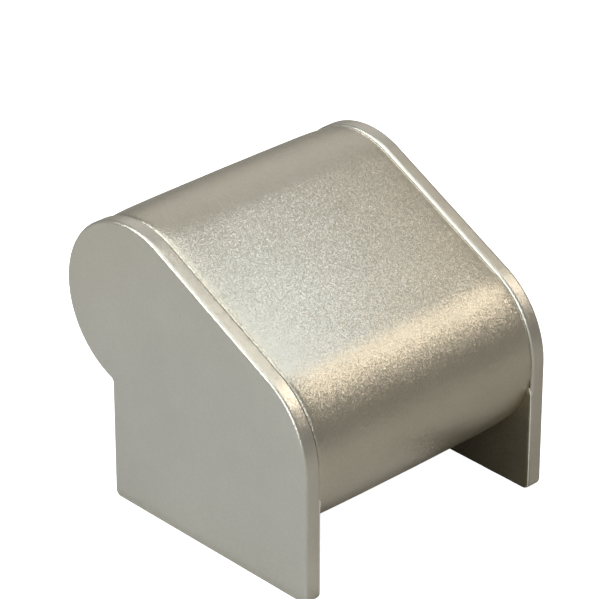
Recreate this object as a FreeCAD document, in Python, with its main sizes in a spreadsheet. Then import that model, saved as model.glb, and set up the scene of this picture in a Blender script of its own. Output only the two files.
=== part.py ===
import FreeCAD, Part
import math
import os

import Sketcher

# A watch stand: a padded roll that carries a closed watch bracelet, held between two upright side panels.
# +X runs along the roll to the right, +Y to the back and +Z up. The stand faces -Y and slopes up to the
# back. The origin is on the surface that it stands on, below the middle of its box.

NODE_FOLDER = "parts"

# Driving dimensions in millimetres and degrees: name, size, what it measures.
DIMENSIONS = (
    ("stand_width", "72", "over the outer faces of the two side panels"),
    ("front_radius", "21.4", "low front round of a side panel"),
    ("front_axis_height", "31.2", "axis of the front round above the base"),
    ("rear_radius", "20.6", "high rear round of a side panel"),
    ("rear_axis_setback", "55.2", "axis of the rear round behind the front edge"),
    ("rear_axis_height", "49", "axis of the rear round above the base"),
    ("leg_depth", "61.6", "front edge to the back edge of the leg"),
    ("notch_radius", "1", "inside corner where the rear round meets the leg"),
    ("foot_radius", "1.6", "corners of a side panel at the base"),
    ("arris_bevel", "0.8", "outer arris of a covered side panel"),
    ("board_thickness", "3", "board inside a side panel"),
    ("side_cover_thickness", "0.42", "covering on the outer face and round the edge"),
    ("lining_thickness", "0.42", "covering on the inner face"),
    ("roll_inset", "0.15", "surface of the roll below the edge of the side panels"),
    ("roll_end_bevel", "1.3", "eased ends of the padded roll"),
    ("roll_cover_thickness", "0.5", "covering of the roll"),
    ("padding_thickness", "1.5", "foam under the covering of the roll"),
    ("shell_thickness", "1.2", "bent card under the foam"),
    ("former_thickness", "8", "board in each end of the roll"),
    ("seam_setback", "9", "start of the lap behind the front end of the underside's straight run"),
    ("seam_lap", "8", "width of the lap where the covering of the roll closes"),
    ("seam_margin", "2", "lap short of each end of the roll"),
    ("screw_diameter", "3", "shank of a countersunk screw"),
    ("screw_length", "10", "over all"),
    ("screw_head_diameter", "5.6", "top of the countersunk head"),
    ("screw_point_length", "1.8", "tapered point"),
    ("screw_clearance", "0.2", "hole through board and lining over the shank"),
    ("pilot_clearance", "0.6", "bottom of a former's hole beyond the point of the screw"),
)
COUNTERSINK_ANGLE = 90
FULL_TURN = 360

ORIGIN_POINT = (-1, 1)
START, END, CENTRE = 1, 2, 3

doc = FreeCAD.newDocument("watch_stand")
sizes = doc.addObject("Spreadsheet::Sheet", "sizes")
for row, (alias, size, meaning) in enumerate(DIMENSIONS, start=1):
    sizes.set(f"A{row}", alias)
    sizes.set(f"B{row}", size)
    sizes.set(f"C{row}", meaning)
    sizes.setAlias(f"B{row}", alias)
doc.recompute()

# Lengths that follow from the driving dimensions, as expressions over the sheet.
NOTHING = "0 * sizes.stand_width"
COVER = "sizes.side_cover_thickness"
FACE = "sizes.stand_width / 2"
PANEL = "(sizes.board_thickness + sizes.side_cover_thickness + sizes.lining_thickness)"
SETBACK = "(sizes.rear_axis_setback + sizes.rear_radius) / 2"
ROLL_END = f"(sizes.stand_width / 2 - {PANEL})"
ROLL_LENGTH = f"(2 * {ROLL_END})"
PADDING_INSET = "(sizes.roll_inset + sizes.roll_cover_thickness)"
SHELL_INSET = "(sizes.roll_inset + sizes.roll_cover_thickness + sizes.padding_thickness)"
FORMER_INSET = f"({SHELL_INSET} + sizes.shell_thickness)"
INNER_BEVEL = "sizes.arris_bevel - (2 - sqrt(2)) * sizes.side_cover_thickness"


def value(expression):
    """The number that an expression over the sheet gives now."""
    return float(sizes.evalExpression(expression))


def new_body(label):
    body = doc.addObject("PartDesign::Body", label)
    body.Label = label
    return body


def plane_sketch(body, name, role, offset=(None, None, None)):
    """A sketch on one of the body's origin planes, moved in the plane's own axes by three expressions."""
    sketch = body.newObject("Sketcher::SketchObject", name)
    plane = next(feature for feature in body.Origin.OriginFeatures if feature.Role == role)
    sketch.AttachmentSupport = [(plane, "")]
    sketch.MapMode = "FlatFace"
    for axis, expression in zip("xyz", offset):
        if expression:
            sketch.setExpression(f"AttachmentOffset.Base.{axis}", expression)
    return sketch


def bind(sketch, kind, places, expression):
    """A dimension of a sketch, bound to the sheet."""
    index = sketch.addConstraint(Sketcher.Constraint(kind, *places, value(expression)))
    sketch.setExpression(f"Constraints[{index}]", expression)


def bind_point(sketch, place, across, up):
    """Place a point of a sketch from the sketch's origin."""
    bind(sketch, "DistanceX", (*ORIGIN_POINT, *place), across)
    bind(sketch, "DistanceY", (*ORIGIN_POINT, *place), up)


def add_line(sketch, start, end):
    points = [FreeCAD.Vector(*point, 0) for point in (start, end)]
    return sketch.addGeometry(Part.LineSegment(*points), False)


def add_arc(sketch, centre, radius, first, last):
    """An arc that runs anticlockwise from the angle first to the angle last, in radians."""
    circle = Part.Circle(FreeCAD.Vector(*centre, 0), FreeCAD.Vector(0, 0, 1), radius)
    return sketch.addGeometry(Part.ArcOfCircle(circle, first, last), False)


def on_circle(centre, radius, angle):
    return centre[0] + radius * math.cos(angle), centre[1] + radius * math.sin(angle)


def round_axes():
    """Centres of the front and the rear round, in the plane of a side panel."""
    front = value("sizes.front_radius"), value("sizes.front_axis_height")
    rear = value("sizes.rear_axis_setback"), value("sizes.rear_axis_height")
    return front, rear


def slope_angles():
    """Angles of the normals of the straight runs on top of and below the two rounds."""
    front, rear = round_axes()
    rise = math.atan2(rear[1] - front[1], rear[0] - front[0])
    taper = (value("sizes.front_radius") - value("sizes.rear_radius")) / math.dist(front, rear)
    return rise + math.acos(taper), rise - math.acos(taper)


def bind_rounds(sketch, front_arc, rear_arc, inset):
    """Fix the two rounds of an outline that lies inset inside the edge of the side panels."""
    bind_point(sketch, (front_arc, CENTRE), "sizes.front_radius", "sizes.front_axis_height")
    bind_point(sketch, (rear_arc, CENTRE), "sizes.rear_axis_setback", "sizes.rear_axis_height")
    bind(sketch, "Radius", (front_arc,), f"sizes.front_radius - {inset}")
    bind(sketch, "Radius", (rear_arc,), f"sizes.rear_radius - {inset}")


def draw_obround(sketch, inset):
    """The roll's outline: the two rounds and their common tangents. It starts on top of the rear round."""
    front, rear = round_axes()
    front_radius = value(f"sizes.front_radius - {inset}")
    rear_radius = value(f"sizes.rear_radius - {inset}")
    upper, lower = slope_angles()
    top = math.pi / 2
    rear_back = add_arc(sketch, rear, rear_radius, lower, top)
    underside = add_line(sketch, on_circle(rear, rear_radius, lower), on_circle(front, front_radius, lower))
    front_arc = add_arc(sketch, front, front_radius, upper, lower + 2 * math.pi)
    slope = add_line(sketch, on_circle(front, front_radius, upper), on_circle(rear, rear_radius, upper))
    rear_top = add_arc(sketch, rear, rear_radius, top, upper)
    joints = (
        (rear_back, START, underside, START),
        (underside, END, front_arc, END),
        (front_arc, START, slope, START),
        (slope, END, rear_top, END),
    )
    for joint in joints:
        sketch.addConstraint(Sketcher.Constraint("Tangent", *joint))
    sketch.addConstraint(Sketcher.Constraint("Coincident", rear_top, START, rear_back, END))
    sketch.addConstraint(Sketcher.Constraint("Coincident", rear_top, CENTRE, rear_back, CENTRE))
    sketch.addConstraint(Sketcher.Constraint("Vertical", rear_back, CENTRE, rear_back, END))
    bind_rounds(sketch, front_arc, rear_back, inset)
    return underside


def draw_panel(sketch, inset):
    """A side panel's outline, inset inside its edge: slope, two rounds, and a leg down to a flat foot."""
    front, rear = round_axes()
    edge = value(inset)
    upper, _ = slope_angles()
    front_radius = front[0] - edge
    rear_radius = value("sizes.rear_radius") - edge
    notch_radius = value("sizes.notch_radius")
    notch_reach = value("sizes.rear_radius") + notch_radius
    notch_across = value("sizes.leg_depth") + notch_radius
    notch_drop = math.sqrt(notch_reach ** 2 - (notch_across - rear[0]) ** 2)
    notch = notch_across, rear[1] - notch_drop
    notch_angle = math.atan2(notch[1] - rear[1], notch[0] - rear[0])
    back = value("sizes.leg_depth") - edge
    foot_radius = value("sizes.foot_radius") - edge
    near_foot = edge + foot_radius, edge + foot_radius
    far_foot = back - foot_radius, edge + foot_radius
    right_angle = math.pi / 2

    front_edge = add_line(sketch, (edge, near_foot[1]), (edge, front[1]))
    front_arc = add_arc(sketch, front, front_radius, upper, math.pi)
    slope = add_line(sketch, on_circle(front, front_radius, upper), on_circle(rear, rear_radius, upper))
    rear_arc = add_arc(sketch, rear, rear_radius, notch_angle, upper)
    notch_arc = add_arc(sketch, notch, notch_radius + edge, notch_angle + math.pi, math.pi)
    back_edge = add_line(sketch, (back, notch[1]), (back, far_foot[1]))
    back_foot = add_arc(sketch, far_foot, foot_radius, -right_angle, 0)
    base = add_line(sketch, (far_foot[0], edge), (near_foot[0], edge))
    front_foot = add_arc(sketch, near_foot, foot_radius, math.pi, math.pi + right_angle)
    joints = (
        (front_edge, END, front_arc, END),
        (front_arc, START, slope, START),
        (slope, END, rear_arc, END),
        (rear_arc, START, notch_arc, START),
        (notch_arc, END, back_edge, START),
        (back_edge, END, back_foot, END),
        (back_foot, START, base, START),
        (base, END, front_foot, END),
        (front_foot, START, front_edge, START),
    )
    for joint in joints:
        sketch.addConstraint(Sketcher.Constraint("Tangent", *joint))
    for upright in (front_edge, back_edge):
        sketch.addConstraint(Sketcher.Constraint("Vertical", upright))
    sketch.addConstraint(Sketcher.Constraint("Horizontal", base))
    bind_rounds(sketch, front_arc, rear_arc, inset)
    bind(sketch, "Radius", (notch_arc,), f"sizes.notch_radius + {inset}")
    for foot in (back_foot, front_foot):
        bind(sketch, "Radius", (foot,), f"sizes.foot_radius - {inset}")
    bind(sketch, "DistanceX", (*ORIGIN_POINT, back_edge, START), f"sizes.leg_depth - {inset}")
    bind(sketch, "DistanceY", (*ORIGIN_POINT, base, START), inset)


def profile_sketch(body, name, depth, draw, inset):
    """A sketch square to the roll, at a place along +X given by an expression."""
    sketch = plane_sketch(body, name, "YZ_Plane", (f"-{SETBACK}", None, depth))
    draw(sketch, inset)
    doc.recompute()
    return sketch


def trace(sketch, corners):
    """A closed outline of straight lines through corners that are pairs of expressions."""
    points = [(value(across), value(up)) for across, up in corners]
    lines = [add_line(sketch, *pair) for pair in zip(points, points[1:] + points[:1])]
    for line, following in zip(lines, lines[1:] + lines[:1]):
        sketch.addConstraint(Sketcher.Constraint("Coincident", line, END, following, START))
    for line, (across, up) in zip(lines, corners):
        bind_point(sketch, (line, START), across, up)
    doc.recompute()


def pad(body, name, sketch, length):
    feature = body.newObject("PartDesign::Pad", name)
    feature.Profile = sketch
    feature.setExpression("Length", length)
    doc.recompute()
    return feature


def pocket(body, name, sketch, length):
    """Cut along +X from the sketch, and make sure that the cut takes something away."""
    before = body.Shape.Volume
    feature = body.newObject("PartDesign::Pocket", name)
    feature.Profile = sketch
    feature.Reversed = True
    feature.setExpression("Length", length)
    doc.recompute()
    assert body.Shape.Volume < before, name
    return feature


def edges_on_face(shape, across):
    """Names of the edges that lie in the plane X = across."""
    flat = 1e-6
    return [
        f"Edge{number}"
        for number, edge in enumerate(shape.Edges, start=1)
        if all(abs(vertex.X - across) < flat for vertex in edge.Vertexes)
    ]


def bevel_arris(body, name, base, across, leg):
    """Bevel the edges of a feature that lie in the plane X = across."""
    feature = body.newObject("PartDesign::Chamfer", name)
    feature.Base = (base, edges_on_face(base.Shape, value(across)))
    feature.setExpression("Size", leg)
    doc.recompute()
    return feature


def screw_circles(sketch, diameter):
    """A circle on the axis of each round, where a screw passes."""
    front, rear = round_axes()
    places = (
        (front, "sizes.front_radius", "sizes.front_axis_height"),
        (rear, "sizes.rear_axis_setback", "sizes.rear_axis_height"),
    )
    for centre, across, up in places:
        circle = Part.Circle(FreeCAD.Vector(*centre, 0), FreeCAD.Vector(0, 0, 1), value(diameter) / 2)
        index = sketch.addGeometry(circle, False)
        bind_point(sketch, (index, CENTRE), across, up)
        bind(sketch, "Diameter", (index,), diameter)


def make_side_board():
    """The stiff board of the left panel, eased on its outer arris and countersunk for two screws."""
    body = new_body("left_side_board")
    outer = f"-{FACE} + {COVER}"
    outline = profile_sketch(body, "board_outline", outer, draw_panel, COVER)
    board = pad(body, "board", outline, "sizes.board_thickness")
    bevel_arris(body, "board_arris", board, outer, INNER_BEVEL)
    before = body.Shape.Volume
    marks = plane_sketch(body, "screw_marks", "YZ_Plane", (f"-{SETBACK}", None, outer))
    screw_circles(marks, "sizes.screw_diameter + sizes.screw_clearance")
    doc.recompute()
    holes = body.newObject("PartDesign::Hole", "screw_holes")
    holes.Profile = marks
    doc.recompute()
    holes.Reversed = True
    holes.setExpression("Diameter", "sizes.screw_diameter + sizes.screw_clearance")
    holes.DepthType = "ThroughAll"
    holes.HoleCutType = "Countersink"
    holes.HoleCutCustomValues = True
    holes.HoleCutCountersinkAngle = COUNTERSINK_ANGLE
    holes.setExpression("HoleCutDiameter", "sizes.screw_head_diameter")
    doc.recompute()
    assert body.Shape.Volume < before, "screw_holes"
    return body


def make_side_cover():
    """The covering of the left panel: over the outer face, round the edge, and trimmed at the inner face."""
    body = new_body("left_side_cover")
    outer = f"-{FACE}"
    outline = profile_sketch(body, "cover_outline", outer, draw_panel, NOTHING)
    skin = pad(body, "cover_form", outline, PANEL)
    bevel_arris(body, "cover_arris", skin, outer, "sizes.arris_bevel")
    inside = f"{outer} + {COVER}"
    cavity_outline = profile_sketch(body, "cavity_outline", inside, draw_panel, COVER)
    cavity = pocket(body, "cavity", cavity_outline, "sizes.board_thickness + sizes.lining_thickness")
    bevel_arris(body, "cavity_arris", cavity, inside, INNER_BEVEL)
    return body


def make_inner_lining():
    """The covering of the left panel's inner face, set inside the trimmed edge of the outer covering."""
    body = new_body("left_inner_lining")
    outer = f"-{ROLL_END} - sizes.lining_thickness"
    outline = profile_sketch(body, "lining_outline", outer, draw_panel, COVER)
    pad(body, "lining", outline, "sizes.lining_thickness")
    marks = plane_sketch(body, "lining_marks", "YZ_Plane", (f"-{SETBACK}", None, outer))
    screw_circles(marks, "sizes.screw_diameter + sizes.screw_clearance")
    doc.recompute()
    pocket(body, "lining_holes", marks, "sizes.lining_thickness")
    return body


def make_end_former():
    """The board in the left end of the roll, with a pilot hole for each screw."""
    body = new_body("left_end_former")
    outer = f"-{ROLL_END}"
    outline = profile_sketch(body, "former_outline", outer, draw_obround, FORMER_INSET)
    pad(body, "former", outline, "sizes.former_thickness")
    marks = plane_sketch(body, "pilot_marks", "YZ_Plane", (f"-{SETBACK}", None, outer))
    screw_circles(marks, "sizes.screw_diameter")
    doc.recompute()
    reach = "sizes.screw_length - sizes.board_thickness - sizes.lining_thickness + sizes.pilot_clearance"
    pocket(body, "pilot_holes", marks, reach)
    return body


def make_screw(label, across, up):
    """A countersunk screw of the left panel, turned about its axis."""
    body = new_body(label)
    top = f"-{FACE} + {COVER}"
    half = plane_sketch(body, f"{label}_half", "XY_Plane", (top, f"{across} - {SETBACK}", up))
    head = "sizes.screw_head_diameter / 2"
    shank = "sizes.screw_diameter / 2"
    corners = (
        (NOTHING, NOTHING),
        (NOTHING, head),
        (f"({head} - {shank}) / tan({COUNTERSINK_ANGLE} / 2)", shank),
        ("sizes.screw_length - sizes.screw_point_length", shank),
        ("sizes.screw_length", NOTHING),
    )
    trace(half, corners)
    turned = body.newObject("PartDesign::Revolution", f"{label}_turned")
    turned.Profile = half
    turned.ReferenceAxis = (half, ["H_Axis"])
    turned.Angle = FULL_TURN
    doc.recompute()
    return body


def make_roll_shell():
    """The bent card that runs over both end formers."""
    body = new_body("roll_shell")
    outer = profile_sketch(body, "shell_outline", f"-{ROLL_END}", draw_obround, SHELL_INSET)
    pad(body, "shell_form", outer, ROLL_LENGTH)
    inner = profile_sketch(body, "shell_bore", f"-{ROLL_END}", draw_obround, FORMER_INSET)
    pocket(body, "shell_hollow", inner, ROLL_LENGTH)
    return body


def band_corners(inset, shrink):
    """The outer side of a band's section: up the left end, over the roll and down the right end.

    inset is how far the band lies below the edge of the side panels, and shrink how far it stays short
    of the ends of the roll.
    """
    base = f"sizes.rear_axis_height + sizes.rear_radius - {SHELL_INSET}"
    level = f"sizes.rear_axis_height + sizes.rear_radius - {inset}"
    bevel = f"(sizes.roll_end_bevel - {shrink})"
    right = f"{ROLL_LENGTH} - {shrink}"
    return [
        (shrink, base),
        (shrink, f"{level} - {bevel}"),
        (f"{shrink} + {bevel}", level),
        (f"{right} - {bevel}", level),
        (right, f"{level} - {bevel}"),
        (right, base),
    ]


def band_sketch(body, name):
    """A sketch through the top of the rear round, square to the way the band runs round the roll."""
    return plane_sketch(body, name, "XZ_Plane", (f"-{ROLL_END}", None, f"{SETBACK} - sizes.rear_axis_setback"))


def sweep_round(body, name, section):
    """Carry a section once round the roll."""
    path = profile_sketch(body, f"{name}_path", None, draw_obround, SHELL_INSET)
    pipe = body.newObject("PartDesign::AdditivePipe", name)
    pipe.Profile = section
    pipe.Spine = (path, [])
    pipe.Mode = "Binormal"
    pipe.Binormal = FreeCAD.Vector(1, 0, 0)
    doc.recompute()
    return pipe


def make_roll_padding():
    """Thin foam round the shell, eased at the ends of the roll."""
    body = new_body("roll_padding")
    section = band_sketch(body, "padding_section")
    trace(section, band_corners(PADDING_INSET, "sizes.roll_cover_thickness"))
    sweep_round(body, "padding", section)
    return body


def make_roll_cover():
    """The covering of the roll, turned in at both ends, with its two edges lapped on the underside."""
    body = new_body("roll_cover")
    section = band_sketch(body, "covering_section")
    outside = band_corners("sizes.roll_inset", NOTHING)
    inside = band_corners(PADDING_INSET, "sizes.roll_cover_thickness")
    trace(section, outside + inside[::-1])
    sweep_round(body, "covering", section)
    add_lap(body)
    return body


def add_lap(body):
    """The outer edge of the covering, lying on the inner one along the underside of the roll."""
    start = f"-{ROLL_END} + sizes.seam_margin"
    sketch = plane_sketch(body, "lap_section", "YZ_Plane", (f"-{SETBACK}", None, start))
    middle = "(sizes.roll_inset + sizes.roll_cover_thickness / 2)"
    height = "1.5 * sizes.roll_cover_thickness"
    guide = draw_obround(sketch, middle)
    for index in range(sketch.GeometryCount):
        sketch.setConstruction(index, True)
    front, rear = round_axes()
    _, lower = slope_angles()
    along = FreeCAD.Vector(-math.sin(lower), math.cos(lower), 0)
    outward = FreeCAD.Vector(math.cos(lower), math.sin(lower), 0)
    first = FreeCAD.Vector(*on_circle(front, value(f"sizes.front_radius - {middle}"), lower), 0)
    first += along * value("sizes.seam_setback")
    last = first + along * value("sizes.seam_lap")
    drop = outward * value(height)
    corners = [first, last, last + drop, first + drop]
    points = [(corner.x, corner.y) for corner in corners]
    lines = [add_line(sketch, *pair) for pair in zip(points, points[1:] + points[:1])]
    for line, following in zip(lines, lines[1:] + lines[:1]):
        sketch.addConstraint(Sketcher.Constraint("Coincident", line, END, following, START))
    inner_edge, rear_edge, outer_edge, front_edge = lines
    sketch.addConstraint(Sketcher.Constraint("PointOnObject", inner_edge, START, guide))
    sketch.addConstraint(Sketcher.Constraint("PointOnObject", inner_edge, END, guide))
    sketch.addConstraint(Sketcher.Constraint("Parallel", outer_edge, inner_edge))
    for edge in (rear_edge, front_edge):
        sketch.addConstraint(Sketcher.Constraint("Perpendicular", edge, inner_edge))
    bind(sketch, "Distance", (inner_edge,), "sizes.seam_lap")
    bind(sketch, "Distance", (rear_edge,), height)
    bind(sketch, "Distance", (inner_edge, START, guide, END), "sizes.seam_setback")
    doc.recompute()
    pad(body, "lap", sketch, f"{ROLL_LENGTH} - 2 * sizes.seam_margin")


def mirror_to_right(left):
    """The right-hand counterpart of a piece of the left panel."""
    label = left.Label.replace("left_", "right_")
    piece = doc.addObject("Part::Mirroring", label)
    piece.Label = label
    piece.Source = left
    piece.Normal = FreeCAD.Vector(1, 0, 0)
    return piece


def check_document(pieces):
    """Stop if any object failed, or if a piece isn't one valid solid."""
    failed = [item.Label for item in doc.Objects if {"Invalid", "Error"} & set(item.State)]
    assert not failed, failed
    for piece in pieces:
        shape = piece.Shape
        assert not shape.isNull() and shape.isValid(), piece.Label
        assert len(shape.Solids) == 1 and shape.Volume > 0, piece.Label


left_pieces = [
    make_side_board(),
    make_side_cover(),
    make_inner_lining(),
    make_end_former(),
    make_screw("left_front_screw", "sizes.front_radius", "sizes.front_axis_height"),
    make_screw("left_rear_screw", "sizes.rear_axis_setback", "sizes.rear_axis_height"),
]
right_pieces = [mirror_to_right(piece) for piece in left_pieces]
roll_pieces = [make_roll_shell(), make_roll_padding(), make_roll_cover()]
pieces = left_pieces + right_pieces + roll_pieces
doc.recompute()
check_document(pieces)

os.makedirs(NODE_FOLDER, exist_ok=True)
for piece in pieces:
    piece.Shape.exportStep(f"{NODE_FOLDER}/{piece.Label}.step")
    print(piece.Label, round(piece.Shape.Volume, 1))
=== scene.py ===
import math

import bpy
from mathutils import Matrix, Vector, noise


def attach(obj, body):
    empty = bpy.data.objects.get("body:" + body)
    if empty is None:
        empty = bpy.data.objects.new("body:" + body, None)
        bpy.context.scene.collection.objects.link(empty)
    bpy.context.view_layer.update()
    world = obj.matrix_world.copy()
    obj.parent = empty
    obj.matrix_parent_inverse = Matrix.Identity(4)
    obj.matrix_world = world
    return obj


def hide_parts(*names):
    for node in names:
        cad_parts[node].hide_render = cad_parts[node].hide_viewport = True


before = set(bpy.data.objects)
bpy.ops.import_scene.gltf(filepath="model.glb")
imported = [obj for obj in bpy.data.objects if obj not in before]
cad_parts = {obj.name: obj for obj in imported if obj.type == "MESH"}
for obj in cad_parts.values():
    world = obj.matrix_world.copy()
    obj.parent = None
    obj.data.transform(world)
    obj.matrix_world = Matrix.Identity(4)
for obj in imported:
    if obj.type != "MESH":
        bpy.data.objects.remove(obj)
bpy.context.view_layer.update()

# Sizes in millimetres, as in the solids. Outlines lie in the plane of a side panel: their first number is
# the distance behind the front edge and their second the height above the base.
MM = 0.001
FACE = 36.0
PANEL = 3.84
ROLL_END = FACE - PANEL
SETBACK = 37.9
FRONT_AXIS, FRONT_RADIUS = (21.4, 31.2), 21.4
REAR_AXIS, REAR_RADIUS = (55.2, 49.0), 20.6
LEG_DEPTH = 61.6
NOTCH_RADIUS = 1.0
FOOT_RADIUS = 1.6
COVER = 0.42
ROLL_INSET = 0.15
ROLL_COVER = 0.5
PADDING = 1.5
ROLL_FOOT = ROLL_INSET + ROLL_COVER + PADDING
LAP_START, LAP_WIDTH = 9.0, 8.0

# Forms that the solids leave to the scene. On a side panel: the round arrises, tighter along the leg, and
# the lining's raw edge, which starts below the roll and is most proud near the top of the front.
ARRIS_RADIUS = 0.8
LEFT_INNER_ARRIS, RIGHT_INNER_ARRIS, LEG_ARRIS = 0.42, 0.8, 0.17
FACE_LOOPS = (1.45, 1.2)
STRIP_LINES = (1.2, 1.6, 2.0, 2.4)
RIM_GAP, RIM_WIDTH = 0.02, 0.35
STRIP_WAVE, SEAM_WAVE, RAW_EDGE_WAVE = 0.015, 0.03, 0.035
RAW_EDGE = 0.34
RAW_EDGE_TOP, RAW_EDGE_START = 25.4, 0.9
PROUD, PROUD_BELOW_TOP, PROUD_LENGTH = 0.09, 1.6, 0.7

# On the roll: the turned-in ends, the padding's crown, which eases down towards both ends, and the lap.
LEFT_EDGE_RADIUS, RIGHT_EDGE_RADIUS, SMALLEST_RADIUS = 1.4, 0.75, 0.3
CROWN, CROWN_POWER = 0.3, 2.4
END_EASE, LEFT_END_DROP, RIGHT_END_DROP = 7.0, 0.36, 0.3
ROLL_WAVE = 0.03
LAP_RISE, LAP_STEP, LAP_FADE = 0.45, 0.08, 1.5

ROUND_STEPS = 8
ARC_TURN = math.radians(9)
SHARP_ANGLE = math.radians(42)
NOISE_APART = 31.7
LEFT, RIGHT = -1, 1
# Material numbers of a lining: leatherette, pale cut edge, and near-black painted shade of the groove
# beside the roll.
LINING, RAW, PAINTED_GROOVE_SHADE = 0, 1, 2


# Outlines


def slope_angles():
    """Angles of the normals of the straight runs on top of and below the two rounds."""
    rise = math.atan2(REAR_AXIS[1] - FRONT_AXIS[1], REAR_AXIS[0] - FRONT_AXIS[0])
    taper = (FRONT_RADIUS - REAR_RADIUS) / math.dist(FRONT_AXIS, REAR_AXIS)
    return rise + math.acos(taper), rise - math.acos(taper)


def on_circle(centre, radius, angle):
    """The point of a circle at an angle."""
    return centre[0] + radius * math.cos(angle), centre[1] + radius * math.sin(angle)


def arc(centre, radius, first, last, step, hollow=False):
    """Samples (point, outward normal) along an arc, without its last point."""
    turn = abs(last - first)
    count = max(math.ceil(turn * radius / step), math.ceil(turn / ARC_TURN))
    sign = -1 if hollow else 1
    samples = []
    for number in range(count):
        angle = first + (last - first) * number / count
        normal = sign * math.cos(angle), sign * math.sin(angle)
        samples.append((on_circle(centre, radius, angle), normal))
    return samples


def line(start, end, step):
    """Samples along a straight run, without its last point. Outward is to the left."""
    length = math.dist(start, end)
    across, up = (end[0] - start[0]) / length, (end[1] - start[1]) / length
    count = max(1, math.ceil(length / step))
    samples = []
    for number in range(count):
        point = start[0] + across * length * number / count, start[1] + up * length * number / count
        samples.append((point, (-up, across)))
    return samples


def slope_line(step):
    """Samples along the slope, the straight run on top of the two rounds."""
    upper, _ = slope_angles()
    front, rear = on_circle(FRONT_AXIS, FRONT_RADIUS, upper), on_circle(REAR_AXIS, REAR_RADIUS, upper)
    return line(front, rear, step)


def panel_outline(step=0.8):
    """A side panel's edge, clockwise from the foot of its front edge."""
    upper, _ = slope_angles()
    reach = REAR_RADIUS + NOTCH_RADIUS
    across = LEG_DEPTH + NOTCH_RADIUS
    notch = across, REAR_AXIS[1] - math.sqrt(reach ** 2 - (across - REAR_AXIS[0]) ** 2)
    notch_angle = math.atan2(notch[1] - REAR_AXIS[1], notch[0] - REAR_AXIS[0])
    near_foot = FOOT_RADIUS, FOOT_RADIUS
    far_foot = LEG_DEPTH - FOOT_RADIUS, FOOT_RADIUS
    quarter = math.pi / 2
    return (
        line((0, FOOT_RADIUS), (0, FRONT_AXIS[1]), step)
        + arc(FRONT_AXIS, FRONT_RADIUS, math.pi, upper, step)
        + slope_line(step)
        + arc(REAR_AXIS, REAR_RADIUS, upper, notch_angle, step)
        + arc(notch, NOTCH_RADIUS, notch_angle + math.pi, math.pi, step, hollow=True)
        + line((LEG_DEPTH, notch[1]), (LEG_DEPTH, FOOT_RADIUS), step)
        + arc(far_foot, FOOT_RADIUS, 0, -quarter, step)
        + line((far_foot[0], 0), (near_foot[0], 0), step)
        + arc(near_foot, FOOT_RADIUS, -quarter, -math.pi, step)
    )


def roll_outline(step=1.0):
    """The roll's outline, level with the panels' edge, and how far the lap lifts each sample (0 to 1)."""
    upper, lower = slope_angles()
    rear_low = on_circle(REAR_AXIS, REAR_RADIUS, lower)
    front_low = on_circle(FRONT_AXIS, FRONT_RADIUS, lower)
    length = math.dist(rear_low, front_low)

    def below(distance):
        """A point on the underside's straight run, by its distance behind the front round."""
        share = distance / length
        return tuple(low + (high - low) * share for low, high in zip(front_low, rear_low))

    lap_edge = below(LAP_START + LAP_WIDTH)
    lap_edge_top = below(LAP_START + LAP_WIDTH - LAP_STEP)
    lap_end = below(LAP_START)
    runs = (
        (slope_line(step), 0, 0),
        (arc(REAR_AXIS, REAR_RADIUS, upper, lower, step), 0, 0),
        (line(rear_low, lap_edge, step), 0, 0),
        (line(lap_edge, lap_edge_top, step), 0, 1),
        (line(lap_edge_top, lap_end, step), 1, 0),
        (line(lap_end, front_low, step), 0, 0),
        (arc(FRONT_AXIS, FRONT_RADIUS, lower, upper - 2 * math.pi, step), 0, 0),
    )
    samples, lifts = [], []
    for run, first, last in runs:
        samples += run
        lifts += [first + (last - first) * number / len(run) for number in range(len(run))]
    return samples, lifts


# Meshes


def place(side, across, point, normal, depth):
    """A vertex in metres: across from the middle, and depth below the outline at one of its samples."""
    return (
        side * across * MM,
        (point[0] - normal[0] * depth - SETBACK) * MM,
        (point[1] - normal[1] * depth) * MM,
    )


def ripple(point, across, length, seed):
    """Smooth noise from -1 to 1 whose waves are about length long."""
    place_in_noise = point[0] / length, point[1] / length, across / length + NOISE_APART * seed
    return noise.noise(Vector(place_in_noise))


def below_roll(point):
    """How far a place on a panel's edge is below the roll: 0 beside it, 1 all along the leg."""
    return min(1.0, max(0.0, (RAW_EDGE_TOP - point[1]) / RAW_EDGE_START))


def proud(point):
    """How far the raw edge stands out at the top of the front, in millimetres."""
    if point[0] >= LEG_DEPTH / 2:
        return 0.0
    return PROUD * math.exp(-((point[1] - RAW_EDGE_TOP + PROUD_BELOW_TOP) / PROUD_LENGTH) ** 2)


def sweep(name, outline, vertex, count, looped, material_of=None):
    """A closed mesh: vertex(i, j) for each outline sample i and each section point j of count.

    The section is a loop, or else its first and last points bound two flat faces. material_of(i, j) gives
    the number of the material of the face after sample i and point j.
    """
    rows = len(outline)
    verts = [vertex(i, j) for i in range(rows) for j in range(count)]
    faces, kinds = [], []
    for i in range(rows):
        following = (i + 1) % rows
        for j in range(count if looped else count - 1):
            k = (j + 1) % count
            faces.append((i * count + j, following * count + j, following * count + k, i * count + k))
            kinds.append(material_of(i, j) if material_of else 0)
    if not looped:
        faces.append([i * count for i in range(rows)][::-1])
        faces.append([i * count + count - 1 for i in range(rows)])
        kinds += [0, 0]
    mesh = bpy.data.meshes.new(name)
    mesh.from_pydata(verts, [], faces)
    mesh.validate()
    for face, kind in zip(mesh.polygons, kinds):
        face.material_index = kind
        face.use_smooth = True
    face_outward(mesh)
    obj = bpy.data.objects.new(name, mesh)
    bpy.context.scene.collection.objects.link(obj)
    return obj


def face_outward(mesh):
    """Turn a mesh inside out if its volume comes out negative, and keep its sharp edges sharp."""
    mesh.calc_loop_triangles()
    volume = 0
    for triangle in mesh.loop_triangles:
        a, b, c = (mesh.vertices[index].co for index in triangle.vertices)
        volume += a.dot(b.cross(c))
    if volume < 0:
        mesh.flip_normals()
    mesh.set_sharp_from_angle(angle=SHARP_ANGLE)


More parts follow.
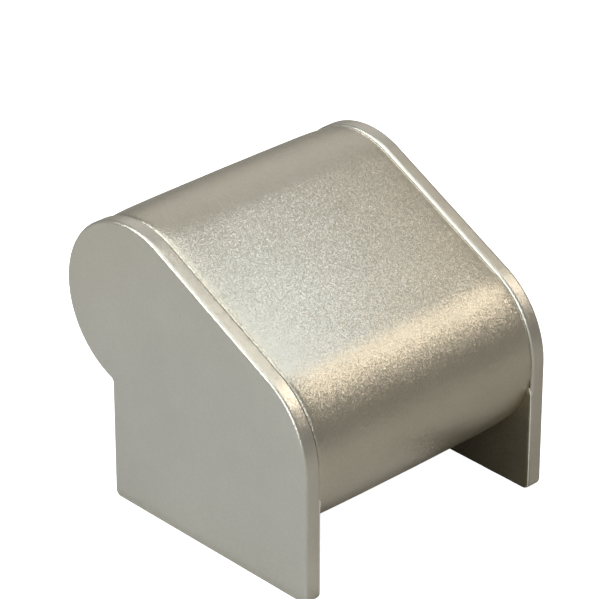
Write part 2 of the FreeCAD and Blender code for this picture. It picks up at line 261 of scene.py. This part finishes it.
def rounded(corner, radius, from_strip, count):
    """Points (across, depth) of a quarter circle inside a corner, from the face to the strip or back.

    The corner is (across, depth, side), and its face looks to the given side.
    """
    across, depth, side = corner
    points = []
    for number in range(count + 1):
        turn = math.pi / 2 * number / count
        reach = (math.sin(turn), math.cos(turn)) if from_strip else (math.cos(turn), math.sin(turn))
        points.append((across + side * radius * (reach[0] - 1), depth + radius * (1 - reach[1])))
    return points


def inner_arris_radius(side):
    """The radius that a panel's edge turns over beside the roll."""
    return LEFT_INNER_ARRIS if side == LEFT else RIGHT_INNER_ARRIS


def make_side_cover(name, side, seed):
    """The covering of one panel: outer face, outer arris, edge strip and the arris that it turns over."""
    outline = panel_outline()
    radius = inner_arris_radius(side)
    rim_depth = max(radius, COVER) + RIM_GAP
    face = [(FACE, depth) for depth in FACE_LOOPS]
    outer_arris = rounded((FACE, 0.0, 1), ARRIS_RADIUS, False, ROUND_STEPS)
    strip = [(FACE - across, 0.0) for across in STRIP_LINES]
    inner_arris = rounded((ROLL_END, 0.0, -1), radius, True, ROUND_STEPS)
    rim = [(ROLL_END + RIM_GAP, rim_depth), (ROLL_END + RIM_WIDTH, rim_depth)]
    hidden_strip = [(ROLL_END + 0.5, COVER), (ROLL_END + 1.2, COVER)]
    hidden_arris = rounded((FACE - COVER, COVER, 1), ARRIS_RADIUS - COVER, True, ROUND_STEPS // 2)
    hidden_face = [(FACE - COVER, depth) for depth in FACE_LOOPS[::-1]]
    section = face + outer_arris + strip + inner_arris + rim + hidden_strip + hidden_arris + hidden_face
    strip_first = len(face) + len(outer_arris)
    arris_first = strip_first + len(strip)
    rim_first = arris_first + len(inner_arris)
    rim_end = rim_first + len(rim)

    def vertex(i, j):
        point, normal = outline[i]
        across, depth = section[j]
        if strip_first <= j < arris_first:
            depth -= STRIP_WAVE * ripple(point, across, 6.0, seed)
        if arris_first <= j < rim_end:
            low = below_roll(point)
            across += SEAM_WAVE * (1 - low) * (1 + ripple(point, 0, 5.0, seed + 5))
            if j < rim_first:
                tighter = 1 + low * (LEG_ARRIS / radius - 1)
                across = ROLL_END + (across - ROLL_END) * tighter
                depth *= tighter
        return place(side, across, point, normal, depth)

    return sweep(name, outline, vertex, len(section), False)


def make_lining(name, side, seed):
    """The thin covering of a panel's inner face, with two forms of its edge that fade into each other.

    Beside the roll it ends hidden under the strip's arris, its edge near-black there: painted shade of
    the groove between roll and panel. Along the leg its pale cut edge shows beside the strip.
    """
    outline = panel_outline(0.5)
    inner, raw = ROLL_END, ROLL_END - RAW_EDGE
    sunk = inner_arris_radius(side) - LEFT_INNER_ARRIS
    hidden = [(inner + COVER, 1.5), (inner + COVER, COVER + 0.3)]
    beside_roll = hidden + [
        (inner + COVER, COVER),
        (inner + 0.2, COVER + 0.25 * sunk),
        (inner + 0.06, COVER + 0.03 + 0.55 * sunk),
        (inner, COVER + 0.1 + 0.7 * sunk),
        (inner, COVER + 0.25 + 0.8 * sunk),
        (inner, COVER + 0.5 + 0.6 * sunk),
        (raw, 1.5),
    ]
    along_leg = hidden + [
        (inner, COVER),
        (inner - 0.01, 0.13),
        (inner - 0.06, 0.08),
        (raw + 0.05, 0.08),
        (raw, 0.14),
        (raw, COVER + 0.5),
        (raw, 1.5),
    ]
    groove_shade_first, raw_first, raw_last = 2, 3, 6

    def vertex(i, j):
        point, normal = outline[i]
        low = below_roll(point)
        across, depth = (first + low * (last - first) for first, last in zip(beside_roll[j], along_leg[j]))
        if raw_first <= j <= raw_last:
            wave = 1 + ripple(point, 0, 5.0, seed) + 0.5 * ripple(point, 0, 1.2, seed + 3)
            depth += RAW_EDGE_WAVE * wave
            across -= low * (proud(point) + SEAM_WAVE * ripple(point, 0, 3.0, seed + 7))
        return place(side, across, point, normal, depth)

    def material_of(i, j):
        if not groove_shade_first <= j <= raw_last:
            return LINING
        if below_roll(outline[i][0]) > 0:
            return RAW if j < raw_last else LINING
        # Beside the roll the lining's edge takes near-black painted shade of the groove.
        return PAINTED_GROOVE_SHADE

    return sweep(name, outline, vertex, len(along_leg), False, material_of)


def band_section(inset, shrink, count):
    """The outer side of the roll's section: (across, depth) from the left end to the right one."""
    end = ROLL_END - shrink
    left_radius = max(SMALLEST_RADIUS, LEFT_EDGE_RADIUS - shrink)
    right_radius = max(SMALLEST_RADIUS, RIGHT_EDGE_RADIUS - shrink)
    turns = [math.pi / 2 * number / ROUND_STEPS for number in range(ROUND_STEPS + 1)]

    def turned_end(radius):
        """A right end, from its foot over its rounding."""
        rise = [
            (end - radius + radius * math.cos(turn), inset + radius - radius * math.sin(turn))
            for turn in turns
        ]
        return [(end, ROLL_FOOT), (end, (ROLL_FOOT + inset + radius) / 2)] + rise

    first, last = -end + left_radius, end - right_radius
    middle = [(first + (last - first) * number / count, inset) for number in range(1, count)]
    left = [(-across, depth) for across, depth in turned_end(left_radius)]
    return left + middle + turned_end(right_radius)[::-1]


def crown(across):
    """How far the padding stands up at a place across the roll: it eases down at both ends."""
    share = min(1.0, abs(across) / ROLL_END)
    ease = max(0.0, 1 - (ROLL_END - abs(across)) / END_EASE)
    drop = LEFT_END_DROP if across < 0 else RIGHT_END_DROP
    return CROWN * (1 - share ** CROWN_POWER) - drop * ease ** 2


def make_roll_cover():
    """The covering of the padded roll: rounded where it turns in at both ends, and lapped underneath."""
    outline, lifts = roll_outline()
    outer = band_section(ROLL_INSET, 0.0, 48)
    inner = band_section(ROLL_INSET + ROLL_COVER, ROLL_COVER, 12)
    section = outer + inner[::-1]
    flat = ROLL_END - LEFT_EDGE_RADIUS

    def vertex(i, j):
        point, normal = outline[i]
        across, depth = section[j]
        if j < len(outer) and abs(across) < ROLL_END - 0.2:
            ends = min(1.0, max(0.0, (flat - abs(across)) / LAP_FADE))
            depth -= crown(across) + ROLL_WAVE * ripple(point, across, 9.0, 2)
            depth -= LAP_RISE * lifts[i] * ends
        return place(RIGHT, across, point, normal, depth)

    return sweep("roll_covering", outline, vertex, len(section), True)


def make_roll_foam():
    """The foam under the covering."""
    outline, _ = roll_outline(2.0)
    outer = band_section(ROLL_INSET + ROLL_COVER, ROLL_COVER, 16)
    inner = [(across, ROLL_FOOT) for across, _ in outer[2:-2:3]]
    section = outer + inner[::-1]

    def vertex(i, j):
        point, normal = outline[i]
        across, depth = section[j]
        return place(RIGHT, across, point, normal, depth)

    return sweep("roll_foam", outline, vertex, len(section), True)


# Materials. Their grain sizes are in millimetres too.

CLOUD, FINE, PEBBLE, FLAKE = 14.0, 0.45, 0.55, 0.2


def new_material(name):
    """A material with its nodes, its links and its shader."""
    material = bpy.data.materials.new(name)
    material.use_nodes = True
    nodes = material.node_tree.nodes
    return material, nodes, material.node_tree.links, nodes["Principled BSDF"]


def add_node(nodes, kind, **values):
    """A node with some inputs set by name."""
    node = nodes.new(kind)
    for key, value in values.items():
        node.inputs[key.replace("_", " ")].default_value = value
    return node


def noise_node(nodes, links, coordinates, size, detail=2.0, roughness=0.5):
    """Noise whose features are about size millimetres."""
    node = add_node(nodes, "ShaderNodeTexNoise", Scale=1 / (size * MM), Detail=detail, Roughness=roughness)
    links.new(coordinates, node.inputs["Vector"])
    return node


def cells_node(nodes, links, coordinates, size, feature="F1"):
    """Voronoi cells of about size millimetres."""
    node = add_node(nodes, "ShaderNodeTexVoronoi", Scale=1 / (size * MM))
    node.feature = feature
    links.new(coordinates, node.inputs["Vector"])
    return node


def remap(nodes, links, source, low, high, to_low, to_high):
    """A value taken from one range to another."""
    ranges = {"From_Min": low, "From_Max": high, "To_Min": to_low, "To_Max": to_high}
    node = add_node(nodes, "ShaderNodeMapRange", **ranges)
    links.new(source, node.inputs["Value"])
    return node.outputs["Result"]


def mix_colour(nodes, links, factor, first, second):
    """A colour between two others of three numbers each."""
    node = nodes.new("ShaderNodeMix")
    node.data_type = "RGBA"
    for socket, colour in ((node.inputs[6], first), (node.inputs[7], second)):
        socket.default_value = (*colour, 1)
    links.new(factor, node.inputs["Factor"])
    return node.outputs[2]


def bump(nodes, links, height, distance, strength, normal=None):
    """A normal with relief of up to distance millimetres."""
    node = add_node(nodes, "ShaderNodeBump", Strength=strength, Distance=distance * MM)
    links.new(height, node.inputs["Height"])
    if normal:
        links.new(normal, node.inputs["Normal"])
    return node.outputs["Normal"]


def vector_math(nodes, links, operation, first, second=None, scale=None):
    """A vector from one or two others, or from one and a scale. Each input is a socket or its value."""
    node = nodes.new("ShaderNodeVectorMath")
    node.operation = operation
    for key, source in ((0, first), (1, second), ("Scale", scale)):
        if isinstance(source, bpy.types.NodeSocket):
            links.new(source, node.inputs[key])
        elif source is not None:
            node.inputs[key].default_value = source
    return node.outputs["Vector"]


def metallic_leather(name, dark, light, metallic, roughness, grain, flake):
    """Thin leatherette with a metallic finish: fine pebble grain, and flakes at slight tilts."""
    material, nodes, links, shader = new_material(name)
    coordinates = nodes.new("ShaderNodeTexCoord").outputs["Object"]
    surface = nodes.new("ShaderNodeNewGeometry").outputs["Normal"]
    cloud = noise_node(nodes, links, coordinates, CLOUD, 3.0).outputs["Fac"]
    fine = noise_node(nodes, links, coordinates, FINE, 3.0, 0.6).outputs["Fac"]
    flakes = cells_node(nodes, links, coordinates, FLAKE).outputs["Color"]
    tone = remap(nodes, links, cloud, 0.3, 0.7, 0.25, 0.75)
    colour = mix_colour(nodes, links, tone, dark, light)
    spark = remap(nodes, links, flakes, 0.0, 1.0, 1 - flake * 0.7, 1 + flake * 0.7)
    links.new(vector_math(nodes, links, "SCALE", colour, scale=spark), shader.inputs["Base Color"])
    shader.inputs["Metallic"].default_value = metallic
    rough = remap(nodes, links, fine, 0.3, 0.7, roughness - 0.05, roughness + 0.05)
    links.new(rough, shader.inputs["Roughness"])
    tilt = vector_math(nodes, links, "SUBTRACT", flakes, (0.5, 0.5, 0.5))
    tilt = vector_math(nodes, links, "SCALE", tilt, scale=flake * 2)
    normal = vector_math(nodes, links, "NORMALIZE", vector_math(nodes, links, "ADD", surface, tilt))
    pebble = cells_node(nodes, links, coordinates, PEBBLE, "SMOOTH_F1").outputs["Distance"]
    normal = bump(nodes, links, pebble, 0.03, grain, normal)
    normal = bump(nodes, links, fine, 0.02, grain, normal)
    links.new(normal, shader.inputs["Normal"])
    return material


def plain_fibre(name, dark, light, size, rough, depth):
    """Board, card, foam or a raw cut edge: soft specks of two colours."""
    material, nodes, links, shader = new_material(name)
    coordinates = nodes.new("ShaderNodeTexCoord").outputs["Object"]
    specks = noise_node(nodes, links, coordinates, size, 4.0, 0.65).outputs["Fac"]
    tone = remap(nodes, links, specks, 0.32, 0.68, 0.0, 1.0)
    links.new(mix_colour(nodes, links, tone, dark, light), shader.inputs["Base Color"])
    shader.inputs["Roughness"].default_value = rough
    links.new(bump(nodes, links, specks, depth, 0.8), shader.inputs["Normal"])
    return material


def brushed_steel(name):
    """Steel of slightly uneven sheen."""
    material, nodes, links, shader = new_material(name)
    coordinates = nodes.new("ShaderNodeTexCoord").outputs["Object"]
    streaks = noise_node(nodes, links, coordinates, 0.3, 2.0).outputs["Fac"]
    tone = remap(nodes, links, streaks, 0.3, 0.7, 0.0, 1.0)
    colour = mix_colour(nodes, links, tone, (0.42, 0.42, 0.43), (0.6, 0.6, 0.6))
    links.new(colour, shader.inputs["Base Color"])
    shader.inputs["Metallic"].default_value = 1.0
    links.new(remap(nodes, links, streaks, 0.3, 0.7, 0.28, 0.42), shader.inputs["Roughness"])
    return material


def finish_piece(obj, slot, materials, *nodes):
    """Give a piece its materials, let it ride, and hide the nodes that it stands for."""
    for material in materials:
        obj.data.materials.append(material)
    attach(obj, "root")
    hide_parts(*nodes)


def dress_node(name, material):
    """Give a carried-over node a procedural material."""
    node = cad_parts[name]
    if not node.material_slots:
        node.data.materials.append(material)
    for material_slot in node.material_slots:
        material_slot.material = material


# Pieces

side_leather = metallic_leather(
    "side_leatherette", (0.572, 0.535, 0.464), (0.622, 0.585, 0.509), 0.85, 0.35, 0.22, 0.08)
roll_leather = metallic_leather(
    "roll_leatherette", (0.535, 0.49, 0.4), (0.595, 0.545, 0.45), 0.9, 0.36, 0.28, 0.12)
# The lining is a darker copy of the leatherette: its darkness is painted shade of the hollow under the
# roll.
painted_shade_lining_leather = metallic_leather(
    "lining_leatherette_painted_shade", (0.33, 0.28, 0.19), (0.39, 0.335, 0.24), 0.85, 0.38, 0.4, 0.08)
raw_edge = plain_fibre("raw_cut_edge", (0.82, 0.79, 0.7), (0.94, 0.92, 0.85), 0.25, 0.8, 0.02)
# Near-black for the lining's edge beside the roll: painted shade of the groove between roll and panel.
painted_groove_shade = plain_fibre("painted_groove_shade", (0.045, 0.035, 0.022), (0.09, 0.07, 0.05), 0.25, 0.85, 0.01)
grey_board = plain_fibre("pressed_board", (0.24, 0.21, 0.17), (0.42, 0.38, 0.31), 0.6, 0.85, 0.05)
card = plain_fibre("card", (0.32, 0.27, 0.2), (0.46, 0.4, 0.31), 0.8, 0.85, 0.03)
foam = plain_fibre("foam", (0.62, 0.6, 0.5), (0.82, 0.8, 0.7), 0.35, 0.95, 0.15)
steel = brushed_steel("steel")

for side, label, seed in ((LEFT, "left", 1), (RIGHT, "right", 2)):
    cover = make_side_cover(f"{label}_covering", side, seed)
    finish_piece(cover, "side_covering", (side_leather,), f"{label}_side_cover")
    lining = make_lining(f"{label}_lining", side, seed)
    finish_piece(lining, "lining_covering", (painted_shade_lining_leather, raw_edge, painted_groove_shade), f"{label}_inner_lining")
    dress_node(f"{label}_side_board", grey_board)
    dress_node(f"{label}_end_former", grey_board)
    dress_node(f"{label}_front_screw", steel)
    dress_node(f"{label}_rear_screw", steel)

roll = make_roll_cover()
finish_piece(roll, "roll_covering", (roll_leather,), "roll_cover")
roll_foam = make_roll_foam()
finish_piece(roll_foam, "foam", (foam,), "roll_padding")
dress_node("roll_shell", card)


# Floor, light and camera, in metres

MIDDLE = (0, 0, 0.035)
COOL, WARM, NEUTRAL = (0.9, 0.97, 1.0), (1.0, 0.92, 0.8), (1.0, 1.0, 1.0)


def make_floor(name, colour, glow, height, first, last):
    """A flat rectangle between two corners, of a colour and with a glow of its own."""
    mesh = bpy.data.meshes.new(name)
    corners = first, (last[0], first[1]), last, (first[0], last[1])
    mesh.from_pydata([(*corner, height) for corner in corners], [], [(0, 1, 2, 3)])
    obj = bpy.data.objects.new(name, mesh)
    bpy.context.scene.collection.objects.link(obj)
    material, _, _, shader = new_material(name)
    shader.inputs["Base Color"].default_value = (*colour, 1)
    shader.inputs["Roughness"].default_value = 0.9
    shader.inputs["Emission Color"].default_value = (1, 1, 1, 1)
    shader.inputs["Emission Strength"].default_value = glow
    mesh.materials.append(material)
    return obj


def add_softbox(name, direction, distance, size, radiance, colour, target=MIDDLE):
    """A square light in a direction from a target, facing it."""
    data = bpy.data.lights.new(name, "AREA")
    data.shape = "SQUARE"
    data.size = size
    data.energy = radiance * math.pi * size * size
    data.color = colour
    obj = bpy.data.objects.new(name, data)
    towards = Vector(direction).normalized()
    obj.location = Vector(target) + towards * distance
    obj.rotation_euler = towards.to_track_quat("Z", "Y").to_euler()
    obj.visible_camera = False
    bpy.context.scene.collection.objects.link(obj)
    return obj


def shine_only_on(light, obj):
    """Keep a light on one piece, as black flags round it would."""
    receivers = bpy.data.collections.new(f"{light.name}_receivers")
    receivers.objects.link(obj)
    light.light_linking.receiver_collection = receivers


def set_world(colour, strength):
    """Even light from all round."""
    world = bpy.data.worlds.new("studio")
    world.use_nodes = True
    background = world.node_tree.nodes["Background"]
    background.inputs["Color"].default_value = (*colour, 1)
    background.inputs["Strength"].default_value = strength
    bpy.context.scene.world = world


def add_camera():
    """The camera of the photo, as solved from the stand's edges."""
    data = bpy.data.cameras.new("camera")
    data.sensor_width = 36
    data.lens = 215.674
    data.clip_start, data.clip_end = 0.01, 10
    obj = bpy.data.objects.new("camera", data)
    obj.location = (-0.47105, -0.49696, 0.42110)
    obj.rotation_euler = (math.radians(61.241), 0, math.radians(-43.335))
    bpy.context.scene.collection.objects.link(obj)
    bpy.context.scene.camera = obj


# The floor that the camera sees is bright paper. A greyer one, which the camera doesn't see, is what the
# stand mirrors and what bounces light up to it. Cards lie on it: pale ones that glow a little beside the
# left panel and at the front, and darker ones under the roll, at the foot of the right leg and before it.
paper = make_floor("floor", (0.9, 0.9, 0.9), 0.95, -0.0001, (-1.5, -1.5), (1.5, 1.5))
paper.visible_diffuse = paper.visible_glossy = paper.visible_shadow = False
for hidden_floor in (
    ("floor_bounce", (0.45, 0.435, 0.41), 0.0, -0.0003, (-0.42, -0.3), (0.42, 0.46)),
    ("floor_card", (0.46, 0.465, 0.48), 0.03, -0.0002, (-0.14, -0.08), (-0.038, 0.1)),
    ("floor_shade", (0.06, 0.05, 0.03), 0.0, -0.0002, (0.012, -0.03), (0.032, 0.03)),
    ("floor_shade_right", (0.39, 0.37, 0.335), 0.0, -0.0002, (0.04, -0.12), (0.11, -0.045)),
    ("floor_card_front", (0.45, 0.435, 0.41), 0.12, -0.0002, (-0.03, -0.052), (0.019, -0.0305)),
    ("floor_shade_leg", (0.15, 0.13, 0.1), 0.0, -0.0002, (0.019, -0.056), (0.0316, -0.0301)),
):
    make_floor(*hidden_floor).visible_camera = False

set_world((1.0, 0.96, 0.9), 0.19)
add_softbox("zenith", (0.04, -0.04, 1.0), 0.72, 0.4, 2.4, COOL)
roll_sheen = add_softbox(
    "roll_sheen", (0.52, 0.0, 0.85), 0.13, 0.036, 3.0, (0.55, 0.75, 1.0), (-0.027, -0.0262, 0.0501))
side_sheen = add_softbox(
    "side_sheen", (0.52, 0.0, 0.85), 0.14, 0.04, 1.4, (0.95, 1.0, 1.0), (-0.034, -0.0225, 0.0525))
add_softbox("key", (0.6, -0.36, 0.7), 0.7, 0.32, 2.7, WARM)
add_softbox("low_key", (0.6, -0.62, 0.5), 0.7, 0.24, 0.75, WARM)
side_key = add_softbox("side_key", (0.6, -0.44, 0.64), 0.7, 0.24, 1.3, WARM)
add_softbox("rear", (0.6, 0.55, 0.55), 0.85, 0.62, 0.54, NEUTRAL)
add_softbox("left_rear", (-0.66, 0.3, 0.68), 0.8, 0.6, 4.2, COOL)
add_softbox("left_front", (-0.8, -0.42, 0.42), 0.8, 0.44, 4.6, COOL)

# The sheen of the slope and that of the left panel's strip, which is warmer, have lights of their own.
left_covering = bpy.data.objects["left_covering"]
shine_only_on(roll_sheen, roll)
shine_only_on(side_sheen, left_covering)
shine_only_on(side_key, left_covering)

bpy.context.scene.view_settings.view_transform = "Standard"
add_camera()
